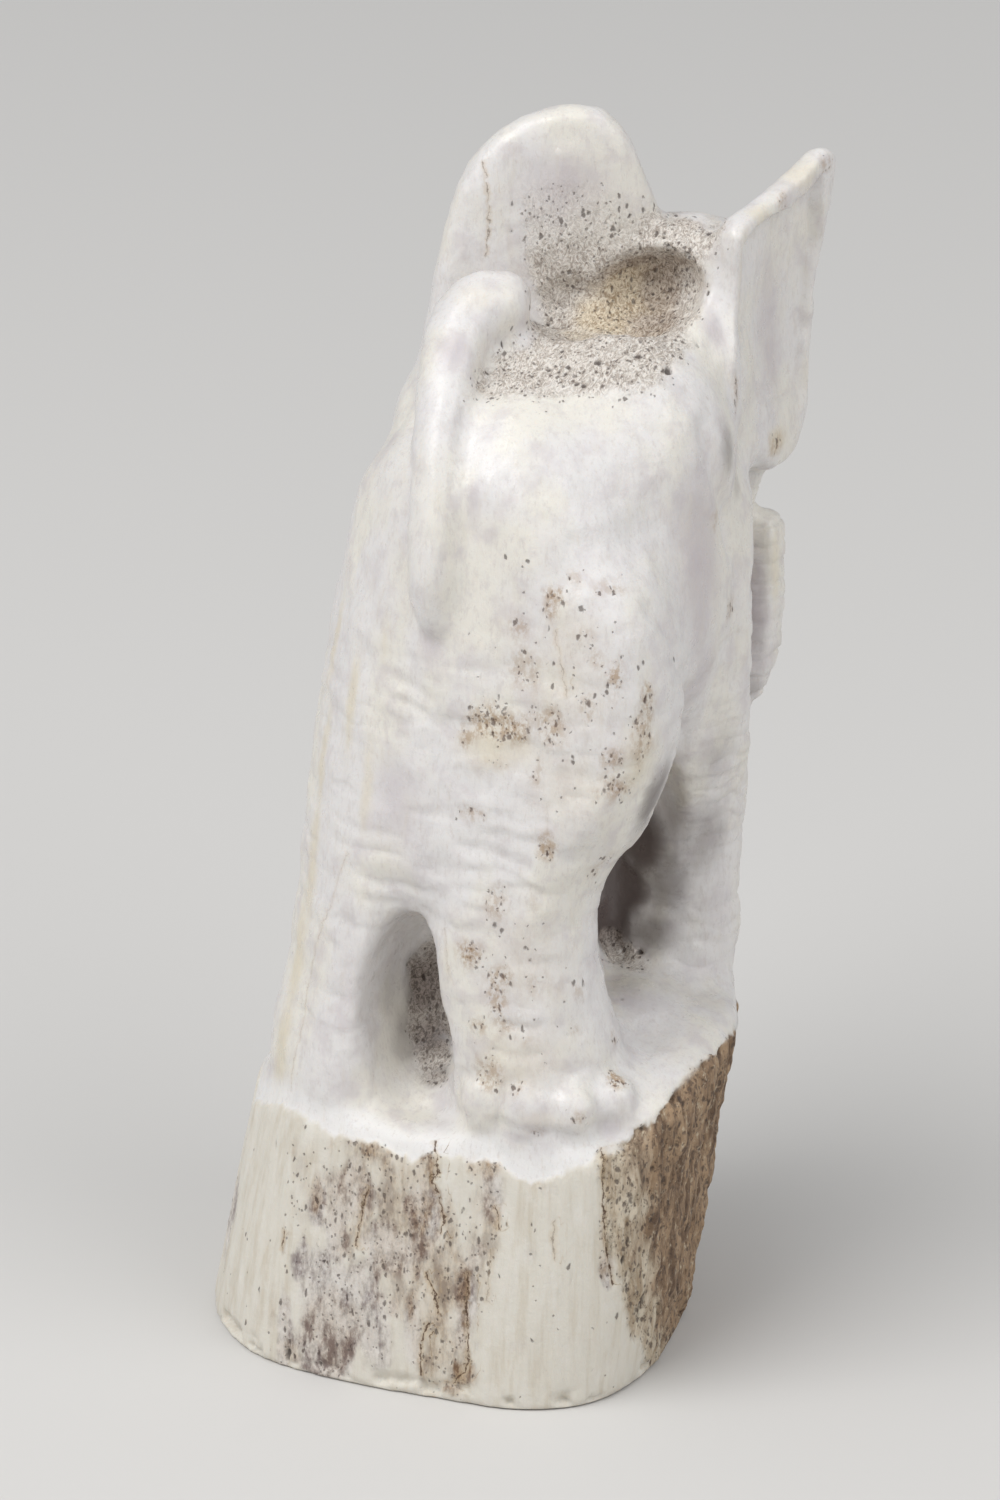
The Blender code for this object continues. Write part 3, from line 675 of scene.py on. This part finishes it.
def tube_mask(skin, stations):
    """1 near a tube's middle line, 0 away from it."""
    mask = np.zeros(len(skin.places))
    for start, end in zip(stations, stations[1:]):
        low = np.array(start[:3])
        along = np.array(end[:3]) - low
        share = np.clip((skin.places - low) @ along / (along @ along), 0, 1)
        gap = np.linalg.norm(skin.places - low - share[:, None] * along, axis=1)
        radius = start[3] + (end[3] - start[3]) * share
        mask = np.maximum(mask, 1 - smooth_step(radius * 1.15, radius * 1.45, gap))
    return mask


def ring_relief(skin):
    """Rings cut across the trunk, and wrinkles across the hips and legs."""
    trunk = np.maximum(tube_mask(skin, TRUNK), tube_mask(skin, TRUNK_END)) * (skin.radius > 11.5)
    wander = 0.25 * noise(skin.places * 0.6, 61)
    rings = np.abs(np.sin(math.pi * (skin.height / TRUNK_RING + wander)))
    push = -TRUNK_RING_DEPTH * trunk * (1 - smooth_step(0.0, 0.6, rings))
    legs = smooth_step(23, 27, skin.height) * (1 - smooth_step(56, 64, skin.height))
    legs = legs * smooth_step(9.5, 12.5, skin.radius)
    bands = skin.places * (0.16, 0.16, 0.62)
    bands[:, 2] += wander
    push -= WRINKLE_DEPTH * legs * smooth_step(0.05, 0.7, noise(bands, 62))
    push -= WRINKLE_DEPTH * legs * smooth_step(0.0, 0.6, noise(bands * (1.6, 1.6, 2.1), 63))
    front = legs * smooth_step(5, 9, skin.places[:, 1]) * (skin.height < 50)
    ribs = np.abs(np.sin(math.pi * (skin.height / RIB_STEP + 2.2 * wander)))
    return push - RIB_DEPTH * front * (1 - smooth_step(0.0, 0.6, ribs))


def nail_relief(skin):
    """Rounded toenails with a soft valley round each."""
    push = np.zeros(len(skin.places))
    for x, y, outward, reach in FEET:
        for step in NAIL_ANGLES:
            turn = math.radians(outward + step)
            nail = np.array((x + reach * math.cos(turn), y + reach * math.sin(turn), NAIL_HEIGHT))
            gap = np.linalg.norm((skin.places - nail) * (1, 1, 0.85), axis=1)
            dome = np.clip(1 - (gap / NAIL_RADIUS) ** 2, 0, 1)
            valley = np.exp(-(((gap - NAIL_RADIUS * 1.3) / 0.5) ** 2))
            beside = np.where(push > 0, push, np.minimum(push, -NAIL_VALLEY * valley))
            push = np.where(dome > 0, NAIL_RISE * dome, beside)
    return push


def eye_relief(skin):
    """The left eye with a lid fold round it."""
    turn = math.radians(EYE_TURN)
    place = skin.tree.ray_cast(Vector(SKULL), Vector((math.cos(turn), math.sin(turn), 0)))[0]
    gap = np.linalg.norm((skin.places - np.array(place)) * (0.8, 0.8, 1.5), axis=1)
    ball = EYE_RISE * np.clip(1 - (gap / EYE_RADIUS) ** 2, 0, 1)
    socket = -SOCKET_DEPTH * np.exp(-(((gap - EYE_RADIUS * 1.3) / 0.38) ** 2))
    lid = LID_RISE * np.exp(-(((gap - EYE_RADIUS * 2.1) / 0.6) ** 2))
    return ball + socket + lid


def bark_relief(skin, marks):
    """Long shallow furrows on the cream side, torn ones on the rough side, and a chipped lower edge."""
    upright = skin.places * (1, 1, 0.16)
    furrows = FURROW_DEPTH * rough_noise(upright * 1.1, 71, 3)
    torn = TORN_DEPTH * rough_noise(upright * 1.1, 72, 4)
    torn = torn + FINE_TORN_DEPTH * rough_noise(skin.places * (2.2, 2.2, 0.9), 75, 2) - TORN_SINK
    worn = -WORN_DEPTH * marks["worn"] * (1 + 0.9 * rough_noise(skin.places * 1.5, 73, 3))
    push = marks["bark"] * (furrows * (1 - marks["rough"]) + torn * marks["rough"]) + worn
    push = push - CHALK_DEPTH * marks["chalk"]
    low = 1 - smooth_step(0.3, 2.0, skin.height)
    chips = smooth_step(0.05, 0.6, rough_noise(skin.places * 0.5, 74, 3))
    side = 1 - smooth_step(0.3, 0.8, np.abs(skin.normals[:, 2]))
    return push - CHIP_DEPTH * low * chips * side


def warped(places, amount, seed):
    """Places pushed about by noise, so that round pores come out crooked."""
    return places + amount * np.stack([noise(places * 0.9, seed + axis) for axis in range(3)], axis=1)


def pore_relief(skin, marks):
    """Open pores and crumbly struts in the spongy core; small pits in stains and on the rough side."""
    core, worn, rough, stain = (marks[name] for name in ("core", "worn", "rough", "stain"))
    wide = np.maximum.reduce([core, 0.25 * worn, 0.40 * rough])
    narrow = np.maximum.reduce([core, 0.30 * worn, 0.40 * stain, 0.45 * rough])
    push = np.zeros(len(skin.places))
    dark = np.zeros(len(skin.places))
    level = smooth_step(0.35, 0.75, np.abs(skin.normals[:, 2])) > 0.5
    stretch = np.where(level[:, None], (0.8, 0.8, 1.0), (1.0, 1.0, 0.55))
    crooked = warped(skin.places, 0.35, 84)
    for density, (size, depth, reach, share, seed) in ((wide, WIDE_PORES), (narrow, NARROW_PORES)):
        gap, number = pore_field(crooked * stretch / size, seed)
        open_pore = number < density * share
        hole = (1 - smooth_step(reach * 0.35, reach, gap)) * open_pore
        push -= depth * hole
        dark = np.maximum(dark, np.where(open_pore, np.clip(1 - gap / (reach * 1.5), 0, 1), 0))
    marks["pore"] = dark
    fibres = rough_noise(crooked * stretch * 1.3, 91, 4)
    return push + core * (0.17 * fibres - 0.12) + 0.05 * worn * fibres


def crack_relief(marks):
    """A soft valley along each crack."""
    gap = np.abs(marks["crack_side"])
    return -CRACK_DEPTH * smooth_step(0.01, 0.08, marks["crack_width"]) * (1 - smooth_step(0.04, 0.34, gap))


def carved_relief(skin, marks):
    """Soft unevenness left by grinding and polishing by hand."""
    carved = (1 - marks["bark"]) * (1 - 0.6 * marks["core"])
    waves = 0.12 * noise(skin.places * 0.34, 95) + 0.07 * noise(skin.places * 0.8, 96)
    return carved * (waves + 0.035 * noise(skin.places * (1.9, 1.9, 1.3), 97))


def dress_surface():
    """Make the fine skin, push the relief into it and keep its marks for the material."""
    thing = fine_copy()
    skin = read_skin(thing)
    marks = {}
    mark_bark(skin, marks)
    mark_core(skin, marks)
    mark_stains(skin, marks)
    mark_cracks(skin, marks)
    push = (
        ear_relief(skin)
        + ring_relief(skin)
        + nail_relief(skin)
        + eye_relief(skin)
        + groove_relief(skin)
        + bark_relief(skin, marks)
        + pore_relief(skin, marks)
        + crack_relief(marks)
        + carved_relief(skin, marks)
    )
    underside = smooth_step(0.15, 0.7, skin.height)
    places = skin.places + skin.normals * (push * underside)[:, None]
    places[:, 2] = np.maximum(places[:, 2], 0)
    thing.data.vertices.foreach_set("co", (places / METRE).astype(np.float32).ravel())
    for name, values in marks.items():
        mark = thing.data.attributes.new(name, "FLOAT", "POINT")
        mark.data.foreach_set("value", values.astype(np.float32))
    thing.data.update()
    fewer = thing.modifiers.new("fewer", "DECIMATE")
    fewer.ratio = SKIN_FACES / sum(len(face.vertices) - 2 for face in thing.data.polygons)
    apply_modifiers(thing)
    thing.data.shade_smooth()
    return thing


def colour(shade):
    """An on-screen colour as the linear colour that a shader takes."""
    shares = [value / 255 for value in shade]
    return tuple(s / 12.92 if s < 0.04045 else ((s + 0.055) / 1.055) ** 2.4 for s in shares) + (1,)


class Graph:
    """Short ways to add nodes to a material."""

    def __init__(self, tree):
        self.tree = tree
        self.place = self.add("ShaderNodeTexCoord").outputs["Object"]

    def add(self, kind, inputs=None, **settings):
        node = self.tree.nodes.new(kind)
        for name, value in settings.items():
            setattr(node, name, value)
        return self.feed(node, inputs or {})

    def feed(self, node, inputs):
        """Give some of a node's inputs a value or another node's output."""
        for name, value in inputs.items():
            self.join(value, node.inputs[name])
        return node

    def join(self, value, socket):
        if isinstance(value, bpy.types.NodeSocket):
            self.tree.links.new(value, socket)
        else:
            socket.default_value = value

    def mark(self, name):
        return self.add("ShaderNodeAttribute", attribute_name=name).outputs["Fac"]

    def math(self, operation, first, second=0.0, third=0.0):
        node = self.add("ShaderNodeMath", operation=operation)
        for value, socket in zip((first, second, third), node.inputs):
            self.join(value, socket)
        return node.outputs[0]

    def stretch(self, x, y, z):
        """The surface's own place, in millimetres times x, y and z."""
        scale = (x * METRE, y * METRE, z * METRE)
        return self.add("ShaderNodeMapping", {"Vector": self.place, "Scale": scale}).outputs[0]

    def noise(self, place, scale, detail=3.0, roughness=0.55, twist=0.0):
        inputs = dict(Vector=place, Scale=scale, Detail=detail, Roughness=roughness, Distortion=twist)
        return self.add("ShaderNodeTexNoise", inputs).outputs["Fac"]

    def ease(self, value, low, high, start=0.0, end=1.0):
        """Turn low to high into start to end, with an easy curve."""
        node = self.add("ShaderNodeMapRange", interpolation_type="SMOOTHSTEP")
        for number, socket in zip((value, low, high, start, end), node.inputs):
            self.join(number, socket)
        return node.outputs[0]

    def most(self, first, *others):
        """The largest of some values."""
        for other in others:
            first = self.math("MAXIMUM", first, other)
        return first

    def part(self, value, share):
        """A share of a value."""
        return self.math("MULTIPLY", value, share)

    def mix(self, share, first, second):
        """From one colour to another; each is a node's output or an on-screen colour."""
        first, second = (colour(end) if isinstance(end, tuple) else end for end in (first, second))
        inputs = {"Factor": share, 6: first, 7: second}
        return self.add("ShaderNodeMix", inputs, data_type="RGBA").outputs[2]


def fine_pores(graph, density, scale, reach, stretch):
    """Small crooked dark pores, more of them where density is high."""
    place = graph.stretch(*stretch)
    bend = graph.add("ShaderNodeTexNoise", {"Vector": place, "Scale": scale * 0.9, "Detail": 2.0})
    bent = {0: bend.outputs["Color"], 1: (1.1 / scale,) * 3, 2: place}
    pull = graph.add("ShaderNodeVectorMath", bent, operation="MULTIPLY_ADD")
    cells = graph.add("ShaderNodeTexVoronoi", {"Vector": pull.outputs[0], "Scale": scale})
    number = graph.add("ShaderNodeSeparateColor", {0: cells.outputs["Color"]})
    chosen = graph.math("LESS_THAN", number.outputs[0], density)
    hole = graph.ease(cells.outputs["Distance"], reach * 0.45, reach, 1.0, 0.0)
    return graph.math("MULTIPLY", hole, chosen)


def carved_colour(graph):
    """Polished antler: near white, with warm and cool drifts and faint upright grain; the lilac-grey drifts
    are partly painted shade.
    """
    drift = graph.noise(graph.stretch(1, 1, 0.5), 0.16, 3.0)
    grain = graph.noise(graph.stretch(1, 1, 0.12), 1.6, 4.0)
    cloud = graph.noise(graph.stretch(1, 1, 1), 0.42, 4.0)
    smudge = graph.noise(graph.stretch(1, 1, 0.45), 1.4, 5.0, 0.66)
    scratch = graph.noise(graph.stretch(1, 1, 0.4), 3.6, 4.0, 0.7)
    white = graph.mix(graph.ease(drift, 0.42, 0.62), *WHITE)
    white = graph.mix(graph.ease(cloud, 0.48, 0.70, 0.0, 0.55), white, CLOUD_GREY)
    white = graph.mix(graph.ease(smudge, 0.50, 0.68, 0.0, 0.42), white, SMUDGE_GREY)
    # The lilac-grey layer is partly the antler's cool tone and partly painted shade.
    layers = (("lilac", 0.8, LILAC_SHADE_GREY), ("cream", 0.75, CREAM_WHITE), ("chalk", 0.85, CHALK_WHITE))
    for name, share, shade in layers:
        white = graph.mix(graph.ease(graph.mark(name), 0.0, 1.0, 0.0, share), white, shade)
    white = graph.mix(graph.ease(scratch, 0.52, 0.70, 0.0, 0.42), white, SCRATCH_GREY)
    return graph.mix(graph.ease(grain, 0.55, 0.75, 0.0, 0.25), white, GRAIN_TAN)


def cream_bark_colour(graph):
    """Uncut antler on the cream side, with tan streaks and grey-lilac worn patches."""
    streak = graph.noise(graph.stretch(1, 1, 0.08), 1.1, 5.0, 0.62)
    speck = graph.noise(graph.stretch(1, 1, 0.55), 2.8, 5.0, 0.74)
    blotch = graph.noise(graph.stretch(1, 1, 0.4), 0.7, 4.0, 0.62)
    cream = graph.mix(graph.ease(streak, 0.42, 0.72), *BARK_CREAM)
    cream = graph.mix(graph.ease(blotch, 0.5, 0.7, 0.0, 0.5), cream, BARK_PALE)
    mottle = graph.math("ADD", graph.part(speck, 0.5), graph.part(blotch, 0.5))
    mottle = graph.ease(mottle, 0.40, 0.58)
    worn = graph.part(graph.ease(graph.mark("worn"), 0.05, 0.7), graph.ease(blotch, 0.32, 0.55, 1.0, 0.55))
    cream = graph.mix(worn, cream, graph.mix(mottle, *WORN_GREY))
    tan = graph.part(graph.ease(graph.mark("brown"), 0.05, 0.9), graph.ease(blotch, 0.34, 0.60, 1.0, 0.35))
    return graph.mix(tan, cream, graph.mix(mottle, *BARK_TAN))


def rough_bark_colour(graph):
    """Uncut antler on the torn side: beige where it starts and brown farther on, with flecks."""
    tone = graph.noise(graph.stretch(1, 1, 0.2), 0.8, 5.0, 0.68, 0.3)
    tone = graph.ease(tone, 0.36, 0.62)
    fleck = graph.noise(graph.stretch(1, 1, 0.45), 2.0, 5.0, 0.75)
    beige = graph.mix(tone, *ROUGH_BEIGE)
    brown = graph.mix(tone, *ROUGH_BROWN)
    side = graph.mix(graph.ease(graph.mark("brown_side"), 0.0, 1.0), beige, brown)
    side = graph.mix(graph.ease(fleck, 0.52, 0.68, 0.0, 0.8), side, ROUGH_DARK)
    return graph.mix(graph.ease(fleck, 0.30, 0.46, 0.75, 0.0), side, ROUGH_PALE)


def core_colour(graph):
    """Spongy core: grey-white struts with brown between them, ochre and umber in the scooped hollow, and
    painted shade where it lies in the hollows.
    """
    fibre = graph.noise(graph.stretch(1, 0.5, 0.7), 2.8, 5.0, 0.76, 1.8)
    tone = graph.ease(fibre, 0.38, 0.60)
    core = graph.mix(tone, *CORE_PALE)
    layers = (("ochre", CORE_OCHRE, 0.8), ("umber", CORE_UMBER, 0.8), ("painted_shade", CORE_PAINTED_SHADE, 0.85))
    for name, shades, share in layers:
        core = graph.mix(graph.ease(graph.mark(name), 0.1, 0.8, 0.0, share), core, graph.mix(tone, *shades))
    return core


def surface_colour(graph):
    """The layers of colour from the polished antler up to the stains."""
    skin = carved_colour(graph)
    # Painted shade in the hollows, under the ear and beside the trunk.
    skin = graph.mix(graph.ease(graph.mark("painted_shade"), 0.1, 0.9, 0.0, 0.94), skin, PAINTED_SHADE_BROWN)
    skin = graph.mix(graph.ease(graph.mark("core"), 0.05, 0.75), skin, core_colour(graph))
    bark = graph.mix(graph.mark("rough"), cream_bark_colour(graph), rough_bark_colour(graph))
    skin = graph.mix(graph.mark("bark"), skin, bark)
    blot = graph.noise(graph.stretch(1, 1, 0.7), 2.2, 5.0, 0.74)
    soaked = graph.part(graph.mark("stain"), graph.ease(blot, 0.40, 0.60, 0.15, 0.85))
    return graph.mix(soaked, skin, STAIN_TAN)


def small_pores(graph):
    """Pores too small for the mesh, by how many each finish has."""
    many = graph.most(
        graph.ease(graph.mark("core"), 0.03, 0.45, 0.0, 0.26),
        graph.part(graph.mark("stain"), 0.45),
        graph.part(graph.mark("worn"), 0.22),
        graph.part(graph.mark("rough"), 0.40),
        graph.part(graph.mark("brown"), 0.50),
        graph.part(graph.mark("bark"), 0.010),
    )
    small = fine_pores(graph, many, 2.2, 0.42, (1, 1, 0.6))
    tiny = fine_pores(graph, graph.part(many, 0.8), 3.9, 0.46, (1, 1, 0.8))
    return graph.most(small, graph.part(tiny, 0.8))


def with_cracks(graph, skin):
    """Dark wandering cracks with a tan edge, laid over a colour."""
    ragged = graph.noise(graph.stretch(1, 1, 0.6), 3.0, 3.0)
    wander = graph.noise(graph.stretch(1, 1, 0.8), 1.5, 5.0, 0.7)
    wander = graph.part(graph.math("SUBTRACT", wander, 0.5), 0.9)
    side = graph.math("ABSOLUTE", graph.math("ADD", graph.mark("crack_side"), wander))
    width = graph.mark("crack_width")
    edge = graph.part(width, graph.ease(ragged, 0.3, 0.7, 0.1, 1.3))
    line = graph.ease(graph.math("SUBTRACT", side, edge), -0.04, 0.05, 1.0, 0.0)
    line = graph.part(line, graph.ease(width, 0.005, 0.06))
    glow = graph.part(graph.ease(side, 0.05, 0.36, 0.35, 0.0), graph.ease(width, 0.005, 0.05))
    skin = graph.mix(glow, skin, CRACK_GLOW)
    return graph.mix(graph.part(line, 0.90), skin, CRACK_DARK)


def fine_height(graph, pores):
    """The finest unevenness, for the bump: grit, scratches, dimples and small pores."""
    grit = graph.noise(graph.stretch(1, 1, 0.6), 2.8, 5.0, 0.72)
    dimple = graph.noise(graph.stretch(1, 1, 1), 1.1, 3.0, 0.6)
    scratch = graph.noise(graph.stretch(1, 1, 0.3), 2.2, 3.0)
    bark = graph.part(graph.mark("bark"), graph.ease(graph.mark("rough"), 0.0, 1.0, 0.35, 1.0))
    coarse = graph.most(graph.mark("core"), bark, graph.part(graph.mark("worn"), 0.7))
    height = graph.part(grit, graph.ease(coarse, 0.0, 1.0, 0.08, 1.1))
    height = graph.math("ADD", height, graph.part(scratch, 0.12))
    height = graph.math("ADD", height, graph.part(dimple, 0.36))
    return graph.math("SUBTRACT", height, graph.part(pores, 0.7))


def antler_finish():
    """The one material of the carving: its layers are laid where the marks say."""
    material = bpy.data.materials.new("antler_finish")
    material.use_nodes = True
    shader = material.node_tree.nodes["Principled BSDF"]
    graph = Graph(material.node_tree)
    stain = graph.mark("stain")
    pores = small_pores(graph)
    open_pore = graph.ease(graph.mark("pore"), 0.36, 0.66)
    dark = graph.most(graph.part(pores, 0.72), graph.part(open_pore, 0.85))
    pit = graph.mix(graph.part(stain, 0.8), *PIT_SHADES)
    skin = graph.mix(dark, surface_colour(graph), pit)

    dull = graph.most(graph.mark("bark"), graph.mark("core"), dark, stain, graph.mark("chalk"))
    smear = graph.noise(graph.stretch(1, 1, 1), 0.7, 4.0)
    sheen = graph.ease(dull, 0.0, 1.0, 0.32, 0.70)
    bumps = {"Strength": 0.55, "Distance": 0.25 / METRE, "Height": fine_height(graph, pores)}
    finish = {
        "Base Color": with_cracks(graph, skin),
        "Roughness": graph.math("ADD", sheen, graph.ease(smear, 0.3, 0.7, -0.06, 0.08)),
        "Normal": graph.add("ShaderNodeBump", bumps).outputs[0],
        "Subsurface Weight": 0.10,
        "Subsurface Radius": (1.0, 0.7, 0.5),
        "Subsurface Scale": 0.7 / METRE,
    }
    graph.feed(shader, finish)
    return material


def plain_material(name, shade, roughness):
    """A material of one colour."""
    material = bpy.data.materials.new(name)
    material.use_nodes = True
    shader = material.node_tree.nodes["Principled BSDF"]
    shader.inputs["Base Color"].default_value = colour(shade)
    shader.inputs["Roughness"].default_value = roughness
    return material


def add_floor():
    """The pale floor that the carving stands on."""
    corners = [(x * FLOOR_HALF, y * FLOOR_HALF, 0) for x, y in ((-1, -1), (1, -1), (1, 1), (-1, 1))]
    mesh = bpy.data.meshes.new("floor")
    mesh.from_pydata(corners, [], [(0, 1, 2, 3)])
    mesh.materials.append(plain_material("pale_floor", FLOOR_GREY, 0.9))
    floor = bpy.data.objects.new("floor", mesh)
    bpy.context.scene.collection.objects.link(floor)


def add_light(name, azimuth, elevation, distance, size, power):
    """A square soft light that looks at the carving."""
    back = toward(math.radians(azimuth), math.radians(elevation))
    data = bpy.data.lights.new(name, "AREA")
    data.size = size
    data.energy = power
    lamp = bpy.data.objects.new(name, data)
    lamp.location = CAMERA_TARGET / METRE + back * distance
    lamp.rotation_euler = back.to_track_quat("Z", "Y").to_euler()
    bpy.context.scene.collection.objects.link(lamp)


def add_studio():
    """Soft light from above and the left, with a weak fill and an even pale surround."""
    scene = bpy.context.scene
    scene.view_settings.view_transform = "Standard"
    world = bpy.data.worlds.new("studio")
    scene.world = world
    world.use_nodes = True
    background = world.node_tree.nodes["Background"]
    background.inputs["Color"].default_value = SURROUND_TINT
    background.inputs["Strength"].default_value = SURROUND
    add_light("key_light", *KEY_LIGHT)
    add_light("fill_light", *FILL_LIGHT)


def add_camera():
    """The photograph's camera, with nothing out of focus."""
    scene = bpy.context.scene
    camera = bpy.data.objects.new("camera", bpy.data.cameras.new("camera"))
    scene.collection.objects.link(camera)
    camera.location = camera_place() / METRE
    camera.rotation_euler = view_axes()[0].to_track_quat("Z", "Y").to_euler()
    camera.data.sensor_fit = "VERTICAL"
    camera.data.sensor_height = SENSOR
    camera.data.lens = CAMERA_DISTANCE / (PICTURE_HEIGHT * PIXEL) * SENSOR
    camera.data.clip_start = 0.01
    camera.data.clip_end = 20
    scene.camera = camera


add_camera()
add_studio()
add_floor()
surface = dress_surface()
surface.data.materials.clear()
surface.data.materials.append(antler_finish())
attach(surface, "root")
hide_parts(NODE)
